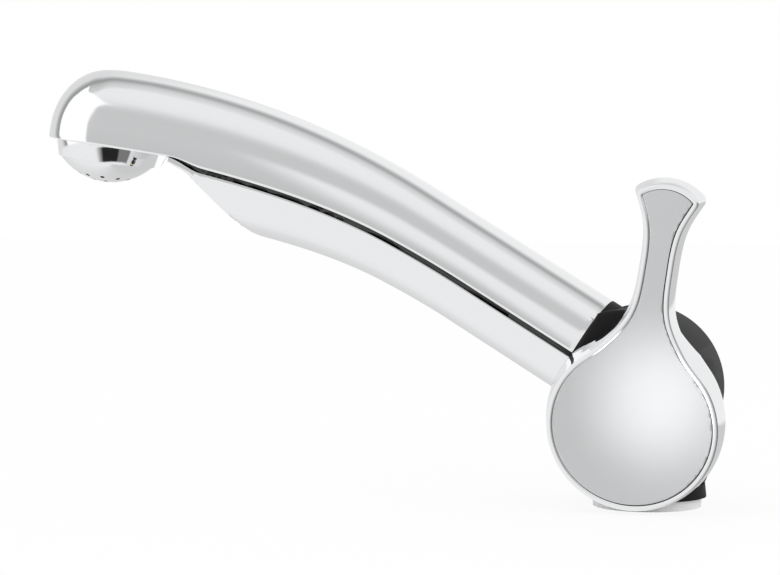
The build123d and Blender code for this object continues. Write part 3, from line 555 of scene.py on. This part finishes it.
# Lever: a drafted body cut back behind its disc, with a recess for the plate
lever = {
    "face": -25.0 * mm, "back": -19.3 * mm, "tilt": radians(9.0), "lean": radians(10.1), "discDrop": 1.0 * mm,
    "discRadius": 23.5 * mm, "shoulderHeight": 14.0 * mm,
    "shoulders": ((21.0 * mm, 11.3 * mm), (30.0 * mm, 5.8 * mm)),
    "neck": (43.0 * mm, 4.35 * mm), "spoon": (55.0 * mm, 5.3 * mm), "tip": (63.2 * mm, 8.7 * mm),
    "tipCrown": 3.5 * mm, "tipGrowth": (1.25, 0.35), "tipRound": 1.6 * mm, "draft": 0.22, "deep": 18.0 * mm,
    "rimWidth": 1.4 * mm, "recess": 1.4 * mm, "armThickness": 4.7 * mm, "root": 18.8 * mm, "rise": 6.5 * mm,
    "rimRound": 0.4 * mm, "discSteps": 72, "sideSteps": 40, "tipSteps": 24, "roundSteps": 6,
}
leverRight = Vector((cos(lever["lean"]), sin(lever["lean"]) * sin(lever["tilt"]),
                     -sin(lever["lean"]) * cos(lever["tilt"])))
leverOut = Vector((0, -cos(lever["tilt"]), -sin(lever["tilt"])))
leverUp = leverOut.cross(leverRight)
leverOrigin = Vector((0, lever["face"], spout["pivotHeight"]))


def smoothLine(points, first, last, share):  # a smooth curve through points, with its two end directions
    spans = [(after - before).length for before, after in zip(points, points[1:])]
    slopes = [first.normalized()]
    for index in range(1, len(points) - 1):
        before, after = spans[index - 1], spans[index]
        slopes.append(((points[index] - points[index - 1]) / before * after
                       + (points[index + 1] - points[index]) / after * before) / (before + after))
    slopes.append(last.normalized())
    target = share * sum(spans)
    for index, span in enumerate(spans):
        if target <= span or index == len(spans) - 1:
            here, there, reach = points[index], points[index + 1], span / 3
            return cubic((here, here + slopes[index] * reach, there - slopes[index + 1] * reach, there),
                         min(target / span, 1))
        target -= span


@lru_cache(None)
def leverOutline(grow):  # closed outline of the lever's face, from the right end of the disc's arc upwards
    angle = asin((lever["shoulderHeight"] + lever["discDrop"]) / lever["discRadius"])
    edge = [Vector((lever["discRadius"] * cos(angle), lever["shoulderHeight"]))]
    edge += [Vector((half, height)) for height, half in
             (*lever["shoulders"], lever["neck"], lever["spoon"], lever["tip"])]
    radius = lever["discRadius"] + grow
    side = [Vector((radius * cos(angle), radius * sin(angle) - lever["discDrop"]))]
    for before, here, after in zip(edge, edge[1:], edge[2:]):
        step = (after - before).normalized()
        side.append(here + grow * Vector((step.y, -step.x)))
    side.append(edge[-1] + grow * Vector(lever["tipGrowth"]))
    rise, flare = Vector((-sin(angle), cos(angle))), edge[-1] - edge[-2]
    tip, top = side[-1], lever["tip"][0] + lever["tipCrown"] + grow
    sag = top - tip.y
    tipRadius = (tip.x ** 2 + sag ** 2) / (2 * sag)
    spread = asin(tip.x / tipRadius)
    sideLength = sum((after - before).length for before, after in zip(side, side[1:]))
    cut = lever["tipRound"] * (1.0 if grow >= 0 else 0.25)
    right = [smoothLine(side, rise, flare, index / lever["sideSteps"] * (1 - cut / sideLength))
             for index in range(lever["sideSteps"] + 1)]
    arc = [Vector((tipRadius * sin(turn), top - tipRadius * (1 - cos(turn))))
           for turn in (spread * (1 - cut / tipRadius / spread) * (1 - 2 * index / lever["tipSteps"])
                        for index in range(lever["tipSteps"] + 1))]
    corner = [right[-1].lerp(tip, t).lerp(tip.lerp(arc[0], t), t)
              for t in (index / lever["roundSteps"] for index in range(1, lever["roundSteps"]))]
    half = right + corner + arc[:lever["tipSteps"] // 2 + 1]
    left = [Vector((-spot.x, spot.y)) for spot in reversed(half[1:-1])]
    disc = [Vector((radius * sin(turn), radius * cos(turn) - lever["discDrop"]))
            for turn in ((pi / 2 - angle) + (pi + 2 * angle) * (1 - index / lever["discSteps"]) for index in
                         range(lever["discSteps"]))]
    return half + left + disc


def leverPoint(spot, depth):
    return leverOrigin + leverRight * spot.x + leverUp * spot.y - leverOut * depth


def leverLoops(name, loops):  # a closed body through outlines given as growth and depth
    count = len(leverOutline(0.0))
    body = gridSheet(name, len(loops) - 1, count, lambda row, column: leverPoint(
        leverOutline(loops[round(row * (len(loops) - 1))][0])[round(column * count) % count],
        loops[round(row * (len(loops) - 1))][1]))
    editAll(body)
    bpy.ops.mesh.remove_doubles(threshold=mergeGap)
    bpy.ops.mesh.select_all(action="SELECT")
    bpy.ops.mesh.fill_holes(sides=0)
    turnOut()
    return body


def leverBack(height):  # behind the arm at a height above the pivot, as y and z
    return (lever["face"] - height * sin(lever["tilt"]) / cos(lever["tilt"])
            + lever["armThickness"] / cos(lever["tilt"]), spout["pivotHeight"] + height)


def makeLever():
    loops = [(-lever["rimWidth"], lever["recess"]), (-lever["rimWidth"], 0.0), (0.0, 0.0)]
    loops += [(lever["draft"] * lever["deep"] * step / 6, lever["deep"] * step / 6) for step in range(1, 7)]
    body = leverLoops("leverBody", loops)
    far = 80 * mm
    trim = [(lever["back"], -far), (lever["back"], spout["pivotHeight"] + lever["root"]),
            leverBack(lever["root"] + lever["rise"]), leverBack(2 * far),
            (far, spout["pivotHeight"] + 2 * far), (far, -far)]
    deselectAll()
    bpy.ops.mesh.primitive_circle_add(vertices=len(trim), radius=1, fill_type="NGON")
    block = bpy.context.active_object
    for vertex, (y, z) in zip(block.data.vertices, trim):
        vertex.co = (-far, y, z)
    editAll(block)
    bpy.ops.mesh.extrude_region_move(TRANSFORM_OT_translate={"value": (2 * far, 0, 0)})
    turnOut()
    applyModifier(body, "BOOLEAN", operation="DIFFERENCE", solver="EXACT", object=block)
    bpy.data.objects.remove(block)
    bevelEdges(body, lever["rimRound"], 3, 40)
    smoothByAngle(body, 38)
    return finishPiece(body, "handle_body", finishes["chrome"])


print("spout casings")
makeUpperShell()
makeLowerCover()
print("lever")
makeLever()
print("pieces that keep the solid's own shape")
for node in ("base_shank", "deck_gasket", "under_washer", "fixing_nut", "hose_tail", "turret_body",
             "rear_cap", "spout_knuckle", "outlet_body", "pivot_sleeve"):
    softCopy(node)
for node, solid in frame["nodes"].items():
    solid.data.materials.clear()
    solid.data.materials.append(finishes[slotOf[node]])

softCopy("seam_gasket").data.materials[0] = mouldedMaterial("seamRubber", (0.07, 0.07, 0.072), 0.55, 0.25)

# Satin plate, with a shallow hollow over the disc, a little to the left in its recess
plate = {
    "edge": -1.58 * mm, "front": 0.15 * mm, "back": 1.36 * mm, "hollow": 0.95 * mm, "hollowReach": 36.0 * mm,
    "hollowCentre": Vector((3.0 * mm, 4.0 * mm)), "low": -27.0 * mm, "high": 72.0 * mm, "half": 27.0 * mm,
    "rows": 110, "columns": 60, "rimRound": 0.12 * mm, "shift": -0.12 * mm,
}


def platePlace(rowShare, columnShare):
    height = plate["low"] + rowShare * (plate["high"] - plate["low"])
    spot = Vector(((columnShare - 0.5) * 2 * plate["half"], height))
    near = max(1 - ((spot - plate["hollowCentre"]).length / plate["hollowReach"]) ** 2, 0)
    return leverPoint(spot, plate["front"] + plate["hollow"] * near * near)


def makePlate():
    block = gridSheet("plateBlock", plate["rows"], plate["columns"], platePlace)
    editAll(block)
    bpy.ops.mesh.extrude_region_move(TRANSFORM_OT_translate={"value": -leverOut * plate["back"]})
    turnOut()
    piece = leverLoops("plateCut", [(plate["edge"], -mm), (plate["edge"], plate["back"])])
    applyModifier(piece, "BOOLEAN", operation="INTERSECT", solver="EXACT", object=block)
    bpy.data.objects.remove(block)
    bevelEdges(piece, plate["rimRound"], 2, 50)
    piece.location = leverRight * plate["shift"]
    settle(piece)
    smoothByAngle(piece, 30)
    return finishPiece(piece, "handle_inlay", finishes["satin_plate"])


print("plate")
makePlate()


# Limits for picking faces painted black as shade: the lever's recess floor and the spray holes' walls
paintedShadeLimits = {"facing": 0.9, "depthRange": 0.1 * mm, "sideways": 0.5, "holeField": 9.0 * mm}


def paintShade(piece, inside):  # painted shade: black material on the faces that inside() picks by centre and normal
    piece.data.materials.append(finishes["black_rubber"])
    for face in piece.data.polygons:
        if inside(face.center, face.normal):
            face.material_index = 1


def recessFloor(centre, normal):  # the recess floor, painted black as shade that shows as a dark line around the plate
    depth = (leverOrigin - centre).dot(leverOut)
    return normal.dot(leverOut) > paintedShadeLimits["facing"] and abs(depth - lever["recess"]) < paintedShadeLimits["depthRange"]


# Outlet: ring and domed face turned about the outlet's axis, and the holes bored along it
outlet = {
    "ring": ((11.5, 0.0), (15.5, 0.0), (14.3, 5.0), (13.78, 5.0), (13.78, 3.0), (11.5, 3.0)),
    "rimRound": 0.18 * mm, "faceRadius": 13.7, "ringHeight": 5.0, "faceSag": 6.1, "faceWall": 1.5,
    "faceBore": 10.5, "faceTop": 3.0, "domeRows": 28, "steps": 128,
    "hole": 0.65 * mm, "holeRows": (6, 10), "holePitch": 3.8 * mm, "holeSides": 20,
    "boreMiddle": 8 * mm, "boreLength": 14 * mm, "smoothing": 40,
}


def aroundOutlet(angle):
    return lipOut * cos(angle) + Vector((0, sin(angle), 0))


def turned(name, profile):  # a profile of radius and depth below the lip, in mm, turned into a closed ring
    line = [*profile, profile[0]]

    def place(rowShare, columnShare):
        radius, depth = line[round(rowShare * (len(line) - 1))]
        return lipOrigin + aroundOutlet(2 * pi * columnShare) * (radius * mm) - lipUp * (depth * mm)

    piece = gridSheet(name, len(line) - 1, outlet["steps"], place)
    mergeAndTurnOut(piece)
    return piece


def makeOutletRing():
    ring = turned("outletRing", outlet["ring"])
    bevelEdges(ring, outlet["rimRound"], 3, 40)
    smoothByAngle(ring, outlet["smoothing"])
    return finishPiece(ring, "outlet_ring", finishes["chrome"])


def domeLine(radius, sphere, reach, rows):  # points from the rim at a reach to the axis
    centre = outlet["ringHeight"] + outlet["faceSag"] - radius
    full = asin(reach / sphere)
    return [(sphere * sin(full * (1 - row / rows)), centre + sphere * cos(full * (1 - row / rows)))
            for row in range(rows + 1)]


def makeSprayFace():
    radius = (outlet["faceRadius"] ** 2 + outlet["faceSag"] ** 2) / (2 * outlet["faceSag"])
    outer = domeLine(radius, radius, outlet["faceRadius"], outlet["domeRows"])
    inner = domeLine(radius, radius - outlet["faceWall"], outlet["faceBore"], outlet["domeRows"] // 2)
    face = turned("sprayFace", [(outlet["faceRadius"], outlet["faceTop"]), *outer, *reversed(inner),
                                (outlet["faceBore"], outlet["faceTop"])])
    bores = []
    spots = [(0.0, 0.0)] + [(row * outlet["holePitch"], 2 * pi * index / count)
                            for row, count in enumerate(outlet["holeRows"], 1) for index in range(count)]
    for reach, angle in spots:
        deselectAll()
        middle = aroundOutlet(angle) * reach + lipOrigin - lipUp * outlet["boreMiddle"]
        bpy.ops.mesh.primitive_cylinder_add(
            vertices=outlet["holeSides"], radius=outlet["hole"], depth=outlet["boreLength"], location=middle,
            rotation=(0, lipUp.angle((0, 0, 1)), 0))
        bores.append(bpy.context.active_object)
        settle(bores[-1])
    bore = joinInto(*bores)
    applyModifier(face, "BOOLEAN", operation="DIFFERENCE", solver="EXACT", object=bore)
    bpy.data.objects.remove(bore)
    smoothByAngle(face, outlet["smoothing"])
    return finishPiece(face, "spray_face", finishes["chrome"])


print("outlet")
makeOutletRing()
makeSprayFace()


# Walls of the spray holes, painted black as shade inside the holes
def holeWall(centre, normal):
    reach = centre - lipOrigin
    spread = (reach - lipUp * reach.dot(lipUp)).length
    return abs(normal.dot(lipUp)) < paintedShadeLimits["sideways"] and spread < paintedShadeLimits["holeField"]


# Painted shade: the lever's recess floor and the spray holes' walls are made black
paintShade(bpy.data.objects["handle_body_skin"], recessFloor)
paintShade(bpy.data.objects["spray_face_skin"], holeWall)

# Camera at the photograph's angle
view = {"place": (0.1087, -0.6417, 0.0895), "pitch": 87.5, "heading": 16, "lens": 106.5, "sensor": 36}
camera = bpy.data.objects.new("photoCamera", bpy.data.cameras.new("photoCamera"))
bpy.context.scene.collection.objects.link(camera)
camera.location = view["place"]
camera.rotation_euler = (radians(view["pitch"]), 0, radians(view["heading"]))
camera.data.lens = view["lens"]
camera.data.sensor_width = view["sensor"]
bpy.context.scene.camera = camera

# Pale worktop
studio = {"floorSize": 6.0, "floorDrop": 0.2 * mm, "floorTone": 0.92, "floorRoughness": 0.6, "floorGlow": 0.9,
          "floorSheen": 0.5}
deselectAll()
bpy.ops.mesh.primitive_grid_add(x_subdivisions=8, y_subdivisions=8, size=studio["floorSize"],
                                location=(0, 0, -studio["floorDrop"]))
floor = bpy.context.active_object
floor.name = "worktop"
settle(floor)
floorMaterial, wire, shader, place = newMaterial("paleWorktop", Roughness=studio["floorRoughness"])
shader.inputs["Base Color"].default_value = (studio["floorTone"],) * 3 + (1,)
glow = wire.node("ShaderNodeEmission", Color=(1, 1, 1, 1), Strength=1.0)
rays = wire.node("ShaderNodeLightPath")
seen = wire.out(rays, "Is Camera Ray") * studio["floorGlow"] + wire.out(rays, "Is Glossy Ray") * studio["floorSheen"]
mix = wire.node("ShaderNodeMixShader", Fac=seen)
floorMaterial.node_tree.links.new(shader.outputs[0], mix.inputs[1])
floorMaterial.node_tree.links.new(glow.outputs[0], mix.inputs[2])
floorMaterial.node_tree.links.new(mix.outputs[0], floorMaterial.node_tree.nodes["Material Output"].inputs[0])
floor.data.materials.append(floorMaterial)
floor.visible_glossy = False  # metal mirrors the lower half of the tent below instead

# Studio: white for the camera. What the metal reflects is a pale tent with a window and darker bands, placed
# by azimuth from the front towards the spout's side, by elevation, and by a curved pole behind the tap.
tent = {
    "rise": [(0.0, 0.58), (0.05, 0.6), (0.12, 0.62), (0.24, 0.61), (0.27, 0.66), (0.325, 0.86), (0.38, 0.9),
             (1.0, 0.9)],
    "hubLift": 0.27, "hubLiftFrom": -0.18, "hubLiftFull": -0.04, "hubLiftLow": 0.13, "hubLiftHigh": 0.18,
    "poleRise": 0.445, "poleLean": 0.12, "poleBow": 0.4, "poleFrom": -0.5, "poleFull": -0.4,
    "poleBend": [(0.0, 0.25), (0.1, 0.5), (0.3, 0.85), (0.48, 0.9), (0.66, 0.65), (0.8, 0.08), (1.0, 0.0)],
    "pole": [(0.27, 0.86), (0.4, 0.66), (0.46, 0.48), (0.5, 0.4), (0.55, 0.53), (0.6, 0.74), (0.65, 0.92),
             (0.8, 0.92), (1.0, 0.95)],
    "poleLoss": 0.17, "poleLossTo": -0.35, "poleLossFrom": -0.12,
    "windowEdge": [(0.0, 0.43), (0.13, 0.4), (0.2, 0.36), (0.25, 0.33), (0.29, 0.272), (0.31, 0.28),
                   (0.35, 0.32), (0.385, 0.37), (0.43, 0.47), (1.0, 0.47)],
    "windowTone": 1.12, "windowSoft": 0.012, "windowBehind": -0.09, "behindSoft": 0.015,
    "low": [(0.0, 0.64), (0.14, 0.64), (0.2, 0.72), (0.28, 0.74), (0.34, 0.9), (0.7, 0.91), (0.79, 0.88),
            (0.87, 0.78), (0.95, 0.68), (1.0, 0.64)],
    "lowTop": -7.0, "highBottom": -4.0, "cardSoft": 2.0,
    "cardLow": -44.0, "cardHigh": -16.0, "cardEnds": 1.5, "cardFrom": -45.0, "cardTo": -5.0, "cardTone": 0.02,
    "greyFrom": -74.0, "greyTone": 0.2, "fadeFrom": -60.0, "fadeFull": -50.0, "fadeTo": 12.0, "fadeTone": 0.2,
}
world = bpy.data.worlds.new("studio")
bpy.context.scene.world = world
world.use_nodes = True
tree = world.node_tree
wire = Wire(tree, None)
direction = wire.out(wire.node("ShaderNodeTexCoord"), "Generated")
parts = wire.node("ShaderNodeSeparateXYZ", Vector=direction)
towardsX, towardsY, towardsZ = (wire.out(parts, axis) for axis in "XYZ")
azimuth = wire.math("ARCTAN2", towardsX * -1.0, towardsY * -1.0) * (180 / pi)
elevation = wire.math("ARCSINE", towardsZ) * (180 / pi)
turn = wire.math("ARCTAN2", towardsZ, towardsY * -1.0) / pi
level = turn.ramp(tent["rise"], "LINEAR")
nearHub = towardsX.step(tent["hubLiftFrom"], tent["hubLiftFull"])
level = level + nearHub * (1 - turn.step(tent["hubLiftLow"], tent["hubLiftHigh"])) * tent["hubLift"]
bend = (towardsX + 1.0).ramp(tent["poleBend"], "LINEAR")
behind = towardsY - towardsZ * tent["poleRise"] + towardsX * tent["poleLean"] + bend * tent["poleBow"]
pole = (behind * 0.5 + 0.5).ramp(tent["pole"], "LINEAR")
pole = pole * (1 - tent["poleLoss"] * (1 - towardsX.step(tent["poleLossTo"], tent["poleLossFrom"])))
level = level.towards(pole, behind.step(tent["poleFrom"], tent["poleFull"]))
window = towardsX * -1.0 - turn.ramp(tent["windowEdge"], "LINEAR")
window = window.step(-tent["windowSoft"], tent["windowSoft"])
window = window * (1 - (behind - tent["windowBehind"]).step(-tent["behindSoft"], tent["behindSoft"]))
level = level.towards(tent["windowTone"], window)
low = (azimuth / 360 + 0.5).ramp(tent["low"], "LINEAR")
cards = elevation.between(tent["cardLow"], tent["cardHigh"], tent["cardEnds"])
fade = (1 - azimuth.step(tent["cardTo"], tent["fadeTo"])) * azimuth.step(tent["fadeFrom"], tent["fadeFull"])
low = low.towards(tent["fadeTone"], fade * cards)
greyCard = azimuth.between(tent["greyFrom"], tent["cardFrom"], tent["cardSoft"])
blackCard = azimuth.between(tent["cardFrom"], tent["cardTo"], tent["cardSoft"])
low = low.towards(tent["greyTone"], greyCard * cards).towards(tent["cardTone"], blackCard * cards)
level = level.towards(low, 1 - elevation.step(tent["lowTop"], tent["highBottom"]))
glossy = wire.out(wire.node("ShaderNodeLightPath"), "Is Glossy Ray")
background = tree.nodes["Background"]
wire.feed(background.inputs["Color"], 1.0 + glossy * (level - 1.0))
background.inputs["Strength"].default_value = 1.0

lampAim = Vector((-0.07, 0, 0.07))
lamps = {
    "keyLamp": {"place": (-0.25, -0.9, 0.9), "size": 0.6, "power": 1.6},
    "fillLamp": {"place": (0.7, -0.6, 0.5), "size": 0.5, "power": 0.8},
}
for name, lamp in lamps.items():
    light = bpy.data.lights.new(name, "AREA")
    light.size = lamp["size"]
    light.energy = lamp["power"]
    holder = bpy.data.objects.new(name, light)
    holder.visible_glossy = False
    bpy.context.scene.collection.objects.link(holder)
    holder.location = lamp["place"]
    holder.rotation_euler = (Vector(lamp["place"]) - lampAim).to_track_quat("Z", "Y").to_euler()

# Narrow spot for the soft bright patch on the satin plate, mirrored from there to the camera
spot = {"plateSpot": Vector((5 * mm, 8 * mm)), "distance": 80 * mm, "radius": 9 * mm, "power": 0.009,
        "cone": radians(36), "blend": 0.8}
patch = leverPoint(spot["plateSpot"], plate["front"] + plate["hollow"])
sight = (patch - camera.location).normalized()
bounce = sight - 2 * sight.dot(leverOut) * leverOut
light = bpy.data.lights.new("plateSpot", "SPOT")
light.energy = spot["power"]
light.shadow_soft_size = spot["radius"]
light.spot_size = spot["cone"]
light.spot_blend = spot["blend"]
holder = bpy.data.objects.new("plateSpot", light)
bpy.context.scene.collection.objects.link(holder)
holder.location = patch + bounce * spot["distance"]
holder.rotation_euler = bounce.to_track_quat("Z", "Y").to_euler()

bpy.context.scene.view_settings.view_transform = "Standard"
